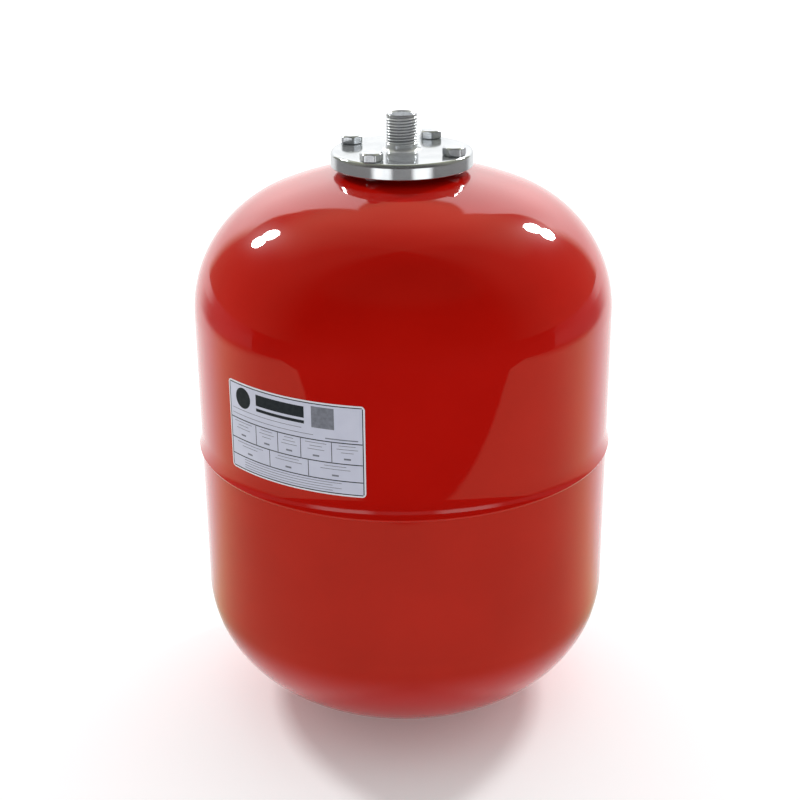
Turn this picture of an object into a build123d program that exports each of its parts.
from build123d import *

import os
from math import atan2, cos, degrees, radians, sin, sqrt

# Membrane expansion vessel, about 18 litres, for a closed heating circuit.
# Millimetres. Z is the vessel's axis, Z = 0 is the floor that the standing ring rests on,
# and the front of the vessel looks along -Y.

# ---- pressed steel shells ------------------------------------------------------------
SHELL_RADIUS = 135.0
SHELL_WALL = 1.5
SEAM_Z = 183.0
TOP_STRAIGHT = 89.6
TOP_KNUCKLE = 81.8
TOP_CROWN = 224.7
BOTTOM_STRAIGHT = 98.2
BOTTOM_KNUCKLE = 75.9
BOTTOM_CROWN = 208.7

LIP_FLARE = 1.8
LIP_HEIGHT = 12.0
RIM_INSET = 1.65
RIM_STEP = 6.0
RIM_TOP = 10.0
SEAM_FILLET = 1.5
SEAM_FILLET_REACH = 1.4
SEAM_FILLET_BULGE = 0.62

FOOT_BLEND = 30.0
POCKET_RADIUS = 26.0
POCKET_DEPTH = 34.0
POCKET_BLEND = 4.0

# ---- neck, flange and water connection -----------------------------------------------
NECK_BORE = 26.5
NECK_RADIUS = 31.0
NECK_HOLE_GAP = 0.1
NECK_INSIDE = 3.0
NECK_WELD = 1.8
WELD_HEIGHT_SHARE = 0.8
WELD_SAG = 0.4
WELD_SAG_RISE = 0.24

FLANGE_RADIUS = 45.0
FLANGE_TOP = SEAM_Z + 191.6
FLANGE_BOTTOM = SEAM_Z + 182.0
FLANGE_PLATE = 2.5
FLANGE_RIM = 2.0
FLANGE_BEND = 2.5
RIM_ROUNDING = 0.6

MEMBRANE_LIP = 2.0
RING_THICKNESS = 5.0
RING_RADIUS = 42.5

BOLT_CIRCLE = 37.0
BOLT_COUNT = 4
BOLT_START_ANGLE = 60.0
BOLT_TURNS = (8.0, 40.0, 22.0, 2.0)
BOLT_RADIUS = 4.0
BOLT_LENGTH = 12.0
BOLT_HEAD_FLATS = 13.0
BOLT_HEAD_HEIGHT = 5.3
BOLT_CROWN_RADIUS = 6.1
BOLT_CHAMFER_SLOPE = 0.58
BOLT_HOLE_RADIUS = 4.5
TAPPED_HOLE_RADIUS = 4.05

NIPPLE_TOP = SEAM_Z + 214.1
NIPPLE_RADIUS = 20.955 / 2
NIPPLE_SHANK = 10.1
NIPPLE_BORE = 8.0
NIPPLE_MOUTH = 8.95
NIPPLE_LEAD_RADIAL = 1.2
NIPPLE_LEAD_HEIGHT = 2.6
NIPPLE_THREAD_START = SEAM_Z + 195.7
PIPE_PITCH = 1.814
PIPE_THREAD_DEPTH = 1.162
PIPE_TURNS = 8
THREAD_CREST = 0.3
THREAD_ROOT = 0.14
NIPPLE_WELD = 2.2

# ---- rubber membrane -----------------------------------------------------------------
MEMBRANE_WALL = 2.0
MEMBRANE_NECK = 26.0
MEMBRANE_LIP_RADIUS = 32.0
MEMBRANE_RADIUS = 104.0
MEMBRANE_WAIST_Z = 178.0
MEMBRANE_BOTTOM_Z = 62.0
MEMBRANE_SHOULDER_Z = 345.0
MEMBRANE_NECK_PULL = 0.6
MEMBRANE_BOTTOM_PULL = 0.55

# ---- air valve in the bottom pocket --------------------------------------------------
VALVE_HOLE = 6.1
STUD_RADIUS = 6.0
STUD_BOTTOM = 25.0
VALVE_FLANGE_RADIUS = 10.0
VALVE_FLANGE = 2.0
GASKET = 1.5
GASKET_RADIUS = 9.5
NUT_FLATS = 17.0
NUT_HEIGHT = 5.0
STEM_TIP = 13.0
STEM_RADIUS = 3.85
STEM_PITCH = 0.794
STEM_THREAD_DEPTH = 0.4
STEM_TURNS = 13
STEM_BORE = 2.65
CORE_RADIUS = 2.55
CORE_BOTTOM = 15.0
CORE_TOP = 29.0
CORE_CHAMBER = 1.8
CORE_CHAMBER_TOP = 24.0
CORE_GUIDE = 1.0
CORE_GROOVE = 2.2
CORE_SEAL_Z = (25.0, 27.0)
PIN_RADIUS = 0.6
PIN_TIP = 14.0
PIN_COLLAR = 1.6
PIN_COLLAR_Z = (15.6, 16.6)
POPPET_RADIUS = 2.0
POPPET_SEAL = 1.0
POPPET_THICKNESS = 1.0
SPRING_WIRE = 0.18
SPRING_RADIUS = 1.25
SPRING_TURNS = 6

CAP_RADIUS = 5.6
CAP_BOTTOM = 10.2
CAP_TOP = 22.0
CAP_FLOOR = 1.4
CAP_CLEARANCE = 0.05
CAP_FLUTES = 12
CAP_FLUTE_RADIUS = 0.6
CAP_COLLAR = 1.5
CAP_SEAL_RADIUS = 3.6

COVER_RADIUS = 25.6
COVER_BOTTOM = 1.0
COVER_PLATE = 1.6
COVER_SKIRT = 1.4
COVER_HEIGHT = 13.0
COVER_GRIP_WIDTH = 4.0
COVER_GRIP_LENGTH = 30.0
COVER_GRIP_HEIGHT = 5.0
COVER_ROUNDING = 0.5

# ---- rating label --------------------------------------------------------------------
LABEL_AZIMUTH = -120.5
LABEL_ARC = 98.5
LABEL_HEIGHT = 58.0
LABEL_BOTTOM = SEAM_Z + 13.9
LABEL_THICKNESS = 0.2
LABEL_CORNER = 2.5

# ---- worked out ----------------------------------------------------------------------
PLATE_BOTTOM = FLANGE_TOP - FLANGE_PLATE
RING_TOP = PLATE_BOTTOM - MEMBRANE_LIP
RING_BOTTOM = RING_TOP - RING_THICKNESS
TOP_SPRING_Z = SEAM_Z + TOP_STRAIGHT
BOTTOM_SPRING_Z = SEAM_Z - BOTTOM_STRAIGHT
RIM_STEP_TOP = SEAM_Z - SEAM_FILLET + RIM_STEP
VALVE_SHOULDER = POCKET_DEPTH + SHELL_WALL
NIPPLE_SHANK_TOP = NIPPLE_THREAD_START - (NIPPLE_RADIUS - NIPPLE_SHANK)


# ---- helpers -------------------------------------------------------------------------
def turned(edges):
    """Solid turned about Z from a closed outline of edges drawn as (radius, height)."""
    return revolve(Plane.XZ * make_face(edges), Axis.Z, 360)


def turned_points(points):
    """Solid turned about Z from a closed straight-sided outline."""
    return turned(Polyline(*points, close=True))


def ring(inner, outer, low, high):
    """Plain ring between two radii and two heights."""
    return turned_points([(inner, low), (outer, low), (outer, high), (inner, high)])


def disc(radius, low, high):
    """Plain disc about Z."""
    return Pos(0, 0, (low + high) / 2) * Cylinder(radius, high - low)


def head_centre(radius, spring_z, knuckle, crown, side):
    """Height of the crown's centre, for a dished end that rises (side 1) or sinks (side -1)."""
    return spring_z - side * sqrt((crown - knuckle) ** 2 - (radius - knuckle) ** 2)


def crown_height(distance, centre_z, crown, side):
    """Height of the crown at a distance from the axis."""
    return centre_z + side * sqrt(crown**2 - distance**2)


def head_arcs(radius, spring_z, knuckle, crown, side, end):
    """Knuckle arc and crown arc of a dished end, from its straight side inwards to end."""
    centre_z = head_centre(radius, spring_z, knuckle, crown, side)
    meet = atan2(abs(spring_z - centre_z), radius - knuckle)
    corner = radius - knuckle

    def on_knuckle(angle):
        return (corner + knuckle * cos(angle), spring_z + side * knuckle * sin(angle))

    join = on_knuckle(meet)
    middle = (join[0] + end) / 2
    knuckle_arc = ThreePointArc(on_knuckle(0), on_knuckle(meet / 2), join)
    crown_arc = ThreePointArc(
        join,
        (middle, crown_height(middle, centre_z, crown, side)),
        (end, crown_height(end, centre_z, crown, side)),
    )
    return [knuckle_arc, crown_arc]


def corner_arc(centre, radius, start, end):
    """Arc about a centre between two angles in degrees."""
    points = []
    for angle in (start, (start + end) / 2, end):
        turn = radians(angle)
        points.append((centre[0] + radius * cos(turn), centre[1] + radius * sin(turn)))
    return ThreePointArc(*points)


def joined(pieces):
    """Close a chain of curves into one outline, with straight lines across the gaps."""
    edges = []
    for index, piece in enumerate(pieces):
        following = pieces[(index + 1) % len(pieces)]
        edges.append(piece)
        gap = (following @ 0) - (piece @ 1)
        if gap.length > 1e-6:
            edges.append(Line(piece @ 1, following @ 0))
    return Curve() + edges


def reversed_arc(arc):
    """The same arc drawn the other way."""
    return ThreePointArc(arc @ 1, arc @ 0.5, arc @ 0)


def thread_points(radius, depth, pitch, start_z, turns):
    """Outline of ring-shaped thread grooves on a rod, going up from start_z."""
    crest = THREAD_CREST * pitch
    root = THREAD_ROOT * pitch
    flank = (pitch - crest - root) / 2
    points = []
    for turn in range(turns):
        low = start_z + turn * pitch
        points.append((radius, low))
        points.append((radius - depth, low + flank))
        points.append((radius - depth, low + flank + root))
        points.append((radius, low + 2 * flank + root))
    return points


def hexagon_prism(flats, low, high):
    """Hexagonal prism about Z, measured across its flats."""
    outline = RegularPolygon(flats / 2, 6, major_radius=False)
    return Pos(0, 0, low) * extrude(outline, high - low)


def around(count, radius, start, shape):
    """Copies of one shape spaced evenly on a circle about Z."""
    step = 360 / count
    return [Rot(0, 0, start + index * step) * Pos(radius, 0, 0) * shape for index in range(count)]


# ---- shells --------------------------------------------------------------------------
def flare(radius):
    """Belled lip of the upper shell: a curve from its side down and outwards to the seam."""
    top = (radius, SEAM_Z + LIP_HEIGHT)
    pull = (radius, SEAM_Z + LIP_HEIGHT / 2)
    return Bezier((radius + LIP_FLARE, SEAM_Z), pull, top)


def upper_shell():
    """Upper pressed dome, with a belled lip at the seam and a hole for the neck."""
    inner = SHELL_RADIUS - SHELL_WALL
    hole = NECK_RADIUS + NECK_HOLE_GAP
    straight_low = SEAM_Z + LIP_HEIGHT
    outside = [flare(SHELL_RADIUS), Line((SHELL_RADIUS, straight_low), (SHELL_RADIUS, TOP_SPRING_Z))]
    outside += head_arcs(SHELL_RADIUS, TOP_SPRING_Z, TOP_KNUCKLE, TOP_CROWN, 1, hole)
    arcs = head_arcs(inner, TOP_SPRING_Z, TOP_KNUCKLE - SHELL_WALL, TOP_CROWN - SHELL_WALL, 1, hole)
    inside = [reversed_arc(arc) for arc in reversed(arcs)]
    inside.append(Line((inner, TOP_SPRING_Z), (inner, straight_low)))
    pull = (inner, SEAM_Z + LIP_HEIGHT / 2)
    inside.append(Bezier((inner, straight_low), pull, (inner + LIP_FLARE, SEAM_Z)))
    return turned(joined(outside + inside))


def foot_arc(crown, centre_z, blend, floor_z):
    """Arc that turns the bottom crown into the flat standing ring."""
    centre_height = floor_z + blend
    distance = sqrt((crown - blend) ** 2 - (centre_z - centre_height) ** 2)
    lean = degrees(atan2(centre_height - centre_z, distance))
    return corner_arc((distance, centre_height), blend, lean, -90), distance


def bottom_outline(wall):
    """One face of the lower shell, from its rim to the valve hole, moved in by wall."""
    radius = SHELL_RADIUS - wall
    knuckle = BOTTOM_KNUCKLE - wall
    crown = BOTTOM_CROWN - wall
    centre_z = head_centre(radius, BOTTOM_SPRING_Z, knuckle, crown, -1)
    foot, _ = foot_arc(crown, centre_z, FOOT_BLEND - wall, wall)
    start = foot @ 0
    knuckle_arc, crown_arc = head_arcs(radius, BOTTOM_SPRING_Z, knuckle, crown, -1, start.X)
    pocket = POCKET_RADIUS + wall
    mouth = corner_arc((POCKET_RADIUS + POCKET_BLEND, POCKET_BLEND), POCKET_BLEND - wall, 270, 180)
    roof_blend = POCKET_BLEND + wall
    roof_centre = (POCKET_RADIUS - POCKET_BLEND, POCKET_DEPTH - POCKET_BLEND)
    roof = corner_arc(roof_centre, roof_blend, 0, 90)
    side = Line((radius, SEAM_Z - SEAM_FILLET), (radius, BOTTOM_SPRING_Z))
    rim = Line((radius - RIM_INSET, SEAM_Z + RIM_TOP), (radius - RIM_INSET, RIM_STEP_TOP))
    middle = (RIM_STEP_TOP + SEAM_Z - SEAM_FILLET) / 2
    step = Bezier(rim @ 1, (radius - RIM_INSET, middle), (radius, middle), side @ 0)
    wall_line = Line((pocket, POCKET_BLEND), (pocket, POCKET_DEPTH - POCKET_BLEND))
    ceiling = Line(roof @ 1, (VALVE_HOLE, POCKET_DEPTH + wall))
    flat = Line(foot @ 1, mouth @ 0)
    return [rim, step, side, knuckle_arc, crown_arc, foot, flat, mouth, wall_line, roof, ceiling]


def lower_shell():
    """Lower pressed dome: rim inside the upper lip, flat standing ring, pocket for the air valve."""
    outside = bottom_outline(0)
    inside = bottom_outline(SHELL_WALL)
    outer_solid = turned(joined(outside + [Line(outside[-1] @ 1, (0, POCKET_DEPTH)), top_cap(0)]))
    inner_end = Line(inside[-1] @ 1, (0, POCKET_DEPTH + SHELL_WALL))
    inner_solid = turned(joined(inside + [inner_end, top_cap(SHELL_WALL)]))
    hole = disc(VALVE_HOLE, 0, 2 * POCKET_DEPTH)
    return outer_solid - inner_solid - hole


def top_cap(wall):
    """Flat line across the open top of the lower shell's filled shape."""
    return Line((0, SEAM_Z + RIM_TOP), (SHELL_RADIUS - RIM_INSET - wall, SEAM_Z + RIM_TOP))


def seam_weld():
    """Painted girth weld tucked under the upper shell's lip."""
    return turned_points([
        (SHELL_RADIUS, SEAM_Z - SEAM_FILLET),
        (SHELL_RADIUS + SEAM_FILLET_BULGE * SEAM_FILLET_REACH, SEAM_Z - SEAM_FILLET_BULGE * SEAM_FILLET),
        (SHELL_RADIUS + SEAM_FILLET_REACH, SEAM_Z),
        (SHELL_RADIUS, SEAM_Z),
    ])


# ---- neck and flange -----------------------------------------------------------------
def crown_top(distance):
    """Height of the upper shell's outer face at a distance from the axis."""
    centre_z = head_centre(SHELL_RADIUS, TOP_SPRING_Z, TOP_KNUCKLE, TOP_CROWN, 1)
    return crown_height(distance, centre_z, TOP_CROWN, 1)


def neck_ring():
    """Welded neck with the tapped ring that the flange bolts screw into."""
    low = crown_top(NECK_RADIUS) - NECK_INSIDE
    outline = [
        (NECK_BORE, low),
        (NECK_RADIUS, low),
        (NECK_RADIUS, RING_BOTTOM),
        (RING_RADIUS, RING_BOTTOM),
        (RING_RADIUS, RING_TOP),
        (NECK_BORE, RING_TOP),
    ]
    body = turned_points(outline)
    hole = disc(TAPPED_HOLE_RADIUS, RING_BOTTOM - 1, RING_TOP + 1)
    for cutter in around(BOLT_COUNT, BOLT_CIRCLE, BOLT_START_ANGLE, hole):
        body -= cutter
    return body


def neck_weld():
    """Fillet weld between the neck and the crown."""
    foot = NECK_RADIUS + NECK_WELD
    low = (NECK_RADIUS + NECK_HOLE_GAP, crown_top(NECK_RADIUS + NECK_HOLE_GAP))
    middle = (NECK_RADIUS + foot) / 2
    base = ThreePointArc(low, (middle, crown_top(middle)), (foot, crown_top(foot)))
    high = (NECK_RADIUS, low[1] + NECK_WELD * WELD_HEIGHT_SHARE)
    sag = (NECK_RADIUS + NECK_WELD * WELD_SAG, low[1] + NECK_WELD * WELD_SAG_RISE)
    throat = ThreePointArc(base @ 1, sag, high)
    side = Line(high, (NECK_RADIUS, low[1]))
    return turned(joined([base, throat, side]))


def flange_plate():
    """Pressed steel flange with a turned-down rim and four bolt holes."""
    hole = NIPPLE_SHANK
    bend = corner_arc((FLANGE_RADIUS - FLANGE_BEND, FLANGE_TOP - FLANGE_BEND), FLANGE_BEND, 90, 0)
    edge_z = FLANGE_BOTTOM + RIM_ROUNDING
    edge = corner_arc((FLANGE_RADIUS - RIM_ROUNDING, edge_z), RIM_ROUNDING, 0, -90)
    inner = FLANGE_RADIUS - FLANGE_RIM
    outline = [
        Line((hole, PLATE_BOTTOM), (hole, FLANGE_TOP)),
        bend,
        edge,
        Line((inner, FLANGE_BOTTOM), (inner, PLATE_BOTTOM)),
    ]
    body = turned(joined(outline))
    cutter = disc(BOLT_HOLE_RADIUS, PLATE_BOTTOM - 1, FLANGE_TOP + 1)
    for shape in around(BOLT_COUNT, BOLT_CIRCLE, BOLT_START_ANGLE, cutter):
        body -= shape
    return body


def water_nipple():
    """Male pipe nipple, half-inch parallel thread, set through the flange plate."""
    radius = NIPPLE_RADIUS
    lead_z = NIPPLE_TOP - NIPPLE_LEAD_HEIGHT
    outline = [(NIPPLE_BORE, PLATE_BOTTOM), (NIPPLE_SHANK, PLATE_BOTTOM), (NIPPLE_SHANK, NIPPLE_SHANK_TOP)]
    outline += thread_points(radius, PIPE_THREAD_DEPTH, PIPE_PITCH, NIPPLE_THREAD_START, PIPE_TURNS)
    outline += [
        (radius, lead_z),
        (radius - NIPPLE_LEAD_RADIAL, NIPPLE_TOP),
        (NIPPLE_MOUTH, NIPPLE_TOP),
        (NIPPLE_BORE, NIPPLE_TOP - (NIPPLE_MOUTH - NIPPLE_BORE)),
    ]
    return turned_points(outline)


def nipple_weld():
    """Fillet weld around the foot of the nipple."""
    foot = (NIPPLE_SHANK + NIPPLE_WELD, FLANGE_TOP)
    high = (NIPPLE_SHANK, FLANGE_TOP + NIPPLE_WELD)
    sag = (NIPPLE_SHANK + NIPPLE_WELD * WELD_SAG, FLANGE_TOP + NIPPLE_WELD * WELD_SAG)
    throat = ThreePointArc(foot, sag, high)
    return turned(joined([throat, Line(high, (NIPPLE_SHANK, FLANGE_TOP))]))


def flange_bolts():
    """Four hexagon-head bolts with chamfered heads, as separate solids."""
    head = hexagon_prism(BOLT_HEAD_FLATS, 0, BOLT_HEAD_HEIGHT)
    corner = BOLT_HEAD_FLATS / sqrt(3)
    slope = (corner - BOLT_CROWN_RADIUS) * BOLT_CHAMFER_SLOPE
    crown = [
        (0, 0),
        (corner, 0),
        (corner, BOLT_HEAD_HEIGHT - slope),
        (BOLT_CROWN_RADIUS, BOLT_HEAD_HEIGHT),
        (0, BOLT_HEAD_HEIGHT),
    ]
    head &= turned_points(crown)
    shank = disc(BOLT_RADIUS, -BOLT_LENGTH, 0)
    bolt = Pos(0, 0, FLANGE_TOP) * (head + shank)
    step = 360 / BOLT_COUNT
    bolts = []
    for index, turn in enumerate(BOLT_TURNS):
        place = Rot(0, 0, BOLT_START_ANGLE + index * step) * Pos(BOLT_CIRCLE, 0, 0)
        bolts.append(place * Rot(0, 0, turn) * bolt)
    return Compound(children=[solid.solid() for solid in bolts])


# ---- membrane ------------------------------------------------------------------------
def pear(wall):
    """Filled shape of the hanging rubber membrane, moved in by wall."""
    neck = MEMBRANE_NECK - wall
    belly = MEMBRANE_RADIUS - wall
    bottom = MEMBRANE_BOTTOM_Z + wall
    waist = MEMBRANE_WAIST_Z
    shoulder = MEMBRANE_SHOULDER_Z
    reach = (shoulder - waist) / 2
    neck_pull = (neck, shoulder - reach * MEMBRANE_NECK_PULL)
    upper = Bezier((neck, shoulder), neck_pull, (belly, waist + reach), (belly, waist))
    side_pull = (belly, waist - (waist - bottom) * MEMBRANE_BOTTOM_PULL)
    lower = Bezier((belly, waist), side_pull, (belly * MEMBRANE_BOTTOM_PULL, bottom), (0, bottom))
    axis = Line((0, bottom), (0, PLATE_BOTTOM))
    return turned(joined([upper, lower, axis, Line((0, PLATE_BOTTOM), (neck, PLATE_BOTTOM))]))


def bladder():
    """Rubber membrane at its relaxed, full shape, with the lip that seals under the flange."""
    lip = ring(MEMBRANE_NECK - MEMBRANE_WALL, MEMBRANE_LIP_RADIUS, RING_TOP, PLATE_BOTTOM)
    return pear(0) + lip - pear(MEMBRANE_WALL)


# ---- air valve -----------------------------------------------------------------------
def valve_body():
    """Brass valve body: inner flange, clamped stud and threaded stem with a stepped bore."""
    flange_low = VALVE_SHOULDER + GASKET
    flange_high = flange_low + VALVE_FLANGE
    thread_low = STEM_TIP + STEM_PITCH
    outline = [(STEM_BORE, STEM_TIP), (STEM_RADIUS - STEM_THREAD_DEPTH, STEM_TIP)]
    outline += thread_points(STEM_RADIUS, STEM_THREAD_DEPTH, STEM_PITCH, thread_low, STEM_TURNS)
    outline += [
        (STEM_RADIUS, STUD_BOTTOM),
        (STUD_RADIUS, STUD_BOTTOM + 1),
        (STUD_RADIUS, flange_low),
        (VALVE_FLANGE_RADIUS, flange_low),
        (VALVE_FLANGE_RADIUS, flange_high),
        (STEM_BORE, flange_high),
    ]
    return turned_points(outline)


def valve_gasket():
    """Rubber washer between the valve body's flange and the shell."""
    return ring(STUD_RADIUS, GASKET_RADIUS, VALVE_SHOULDER, VALVE_SHOULDER + GASKET)


def valve_nut():
    """Thin hexagon nut that clamps the valve body from below."""
    low = POCKET_DEPTH - NUT_HEIGHT
    return hexagon_prism(NUT_FLATS, low, POCKET_DEPTH) - disc(STUD_RADIUS, low - 1, POCKET_DEPTH + 1)


def valve_core():
    """Screw-in core barrel: spring chamber below, pin guide above, seal groove outside."""
    seal_low, seal_high = CORE_SEAL_Z
    return turned_points([
        (CORE_CHAMBER, CORE_BOTTOM),
        (CORE_RADIUS, CORE_BOTTOM),
        (CORE_RADIUS, seal_low),
        (CORE_GROOVE, seal_low),
        (CORE_GROOVE, seal_high),
        (CORE_RADIUS, seal_high),
        (CORE_RADIUS, CORE_TOP),
        (CORE_GUIDE, CORE_TOP),
        (CORE_GUIDE, CORE_CHAMBER_TOP),
        (CORE_CHAMBER, CORE_CHAMBER_TOP),
    ])


def core_seal():
    """Plastic sealing ring around the core barrel."""
    return ring(CORE_GROOVE, STEM_BORE, *CORE_SEAL_Z)


def valve_pin():
    """Valve pin with its spring collar and poppet."""
    collar_low, collar_high = PIN_COLLAR_Z
    poppet_low = CORE_TOP + POPPET_SEAL
    poppet_high = poppet_low + POPPET_THICKNESS
    return turned_points([
        (0, PIN_TIP),
        (PIN_RADIUS, PIN_TIP),
        (PIN_RADIUS, collar_low),
        (PIN_COLLAR, collar_low),
        (PIN_COLLAR, collar_high),
        (PIN_RADIUS, collar_high),
        (PIN_RADIUS, poppet_low),
        (POPPET_RADIUS, poppet_low),
        (POPPET_RADIUS, poppet_high),
        (0, poppet_high),
    ])


def pin_seal():
    """Rubber seat washer under the poppet."""
    return ring(PIN_RADIUS, POPPET_RADIUS, CORE_TOP, CORE_TOP + POPPET_SEAL)


def valve_spring():
    """Coil spring that pushes the pin shut."""
    low = PIN_COLLAR_Z[1] + SPRING_WIRE
    height = CORE_CHAMBER_TOP - SPRING_WIRE - low
    path = Helix(height / SPRING_TURNS, height, SPRING_RADIUS)
    section = Plane(path @ 0, z_dir=path % 0) * Circle(SPRING_WIRE)
    return Pos(0, 0, low) * sweep(section, path)


def cap_seal():
    """Rubber disc in the valve cap, against the stem's tip."""
    return disc(CAP_SEAL_RADIUS, CAP_BOTTOM + CAP_FLOOR + CAP_CLEARANCE, STEM_TIP - CAP_CLEARANCE)


def valve_cap():
    """Fluted screw cap on the valve stem."""
    body = disc(CAP_RADIUS, CAP_BOTTOM, CAP_TOP)
    body = chamfer(body.edges().sort_by(Axis.Z)[0], CAP_FLUTE_RADIUS)
    body -= disc(STEM_RADIUS + CAP_CLEARANCE, CAP_BOTTOM + CAP_FLOOR, CAP_TOP + 1)
    flute = disc(CAP_FLUTE_RADIUS, CAP_BOTTOM - 1, CAP_TOP - CAP_COLLAR)
    for cutter in around(CAP_FLUTES, CAP_RADIUS, 0, flute):
        body -= cutter
    return body


def valve_cover():
    """Moulded cover that plugs the valve pocket, with a finger bar inside its sunk middle."""
    high = COVER_BOTTOM + COVER_HEIGHT
    body = disc(COVER_RADIUS, COVER_BOTTOM, high)
    body = fillet(body.edges().sort_by(Axis.Z)[0], COVER_ROUNDING)
    body -= disc(COVER_RADIUS - COVER_SKIRT, COVER_BOTTOM + COVER_PLATE, high + 1)
    grip_depth = COVER_PLATE / 2
    for side in (-1, 1):
        groove = Box(COVER_GRIP_LENGTH, COVER_GRIP_HEIGHT, 2 * grip_depth)
        body -= Pos(0, side * (COVER_GRIP_WIDTH + COVER_GRIP_HEIGHT) / 2, COVER_BOTTOM) * groove
    return body


# ---- label ---------------------------------------------------------------------------
def rating_label():
    """Printed self-adhesive label, bent around the upper shell."""
    band = ring(SHELL_RADIUS, SHELL_RADIUS + LABEL_THICKNESS, LABEL_BOTTOM, LABEL_BOTTOM + LABEL_HEIGHT)
    width = 2 * SHELL_RADIUS * sin(LABEL_ARC / SHELL_RADIUS / 2)
    outline = RectangleRounded(width, LABEL_HEIGHT, LABEL_CORNER)
    azimuth = radians(LABEL_AZIMUTH)
    facing = Vector(cos(azimuth), sin(azimuth), 0)
    middle = Vector(0, 0, LABEL_BOTTOM + LABEL_HEIGHT / 2)
    window = Plane(middle, x_dir=(-sin(azimuth), cos(azimuth), 0), z_dir=facing)
    return band & extrude(window * outline, SHELL_RADIUS * 1.2)


# ---- write the parts -----------------------------------------------------------------
NODES = {
    "upper_shell": upper_shell,
    "lower_shell": lower_shell,
    "seam_weld": seam_weld,
    "neck_ring": neck_ring,
    "neck_weld": neck_weld,
    "flange_plate": flange_plate,
    "water_nipple": water_nipple,
    "nipple_weld": nipple_weld,
    "flange_bolts": flange_bolts,
    "bladder": bladder,
    "rating_label": rating_label,
    "valve_body": valve_body,
    "valve_gasket": valve_gasket,
    "valve_nut": valve_nut,
    "valve_core": valve_core,
    "core_seal": core_seal,
    "valve_pin": valve_pin,
    "pin_seal": pin_seal,
    "valve_spring": valve_spring,
    "cap_seal": cap_seal,
    "valve_cap": valve_cap,
    "valve_cover": valve_cover,
}


def main():
    os.makedirs("parts", exist_ok=True)
    for name, make in NODES.items():
        export_step(make(), f"parts/{name}.step")
        print("wrote", name)


main()
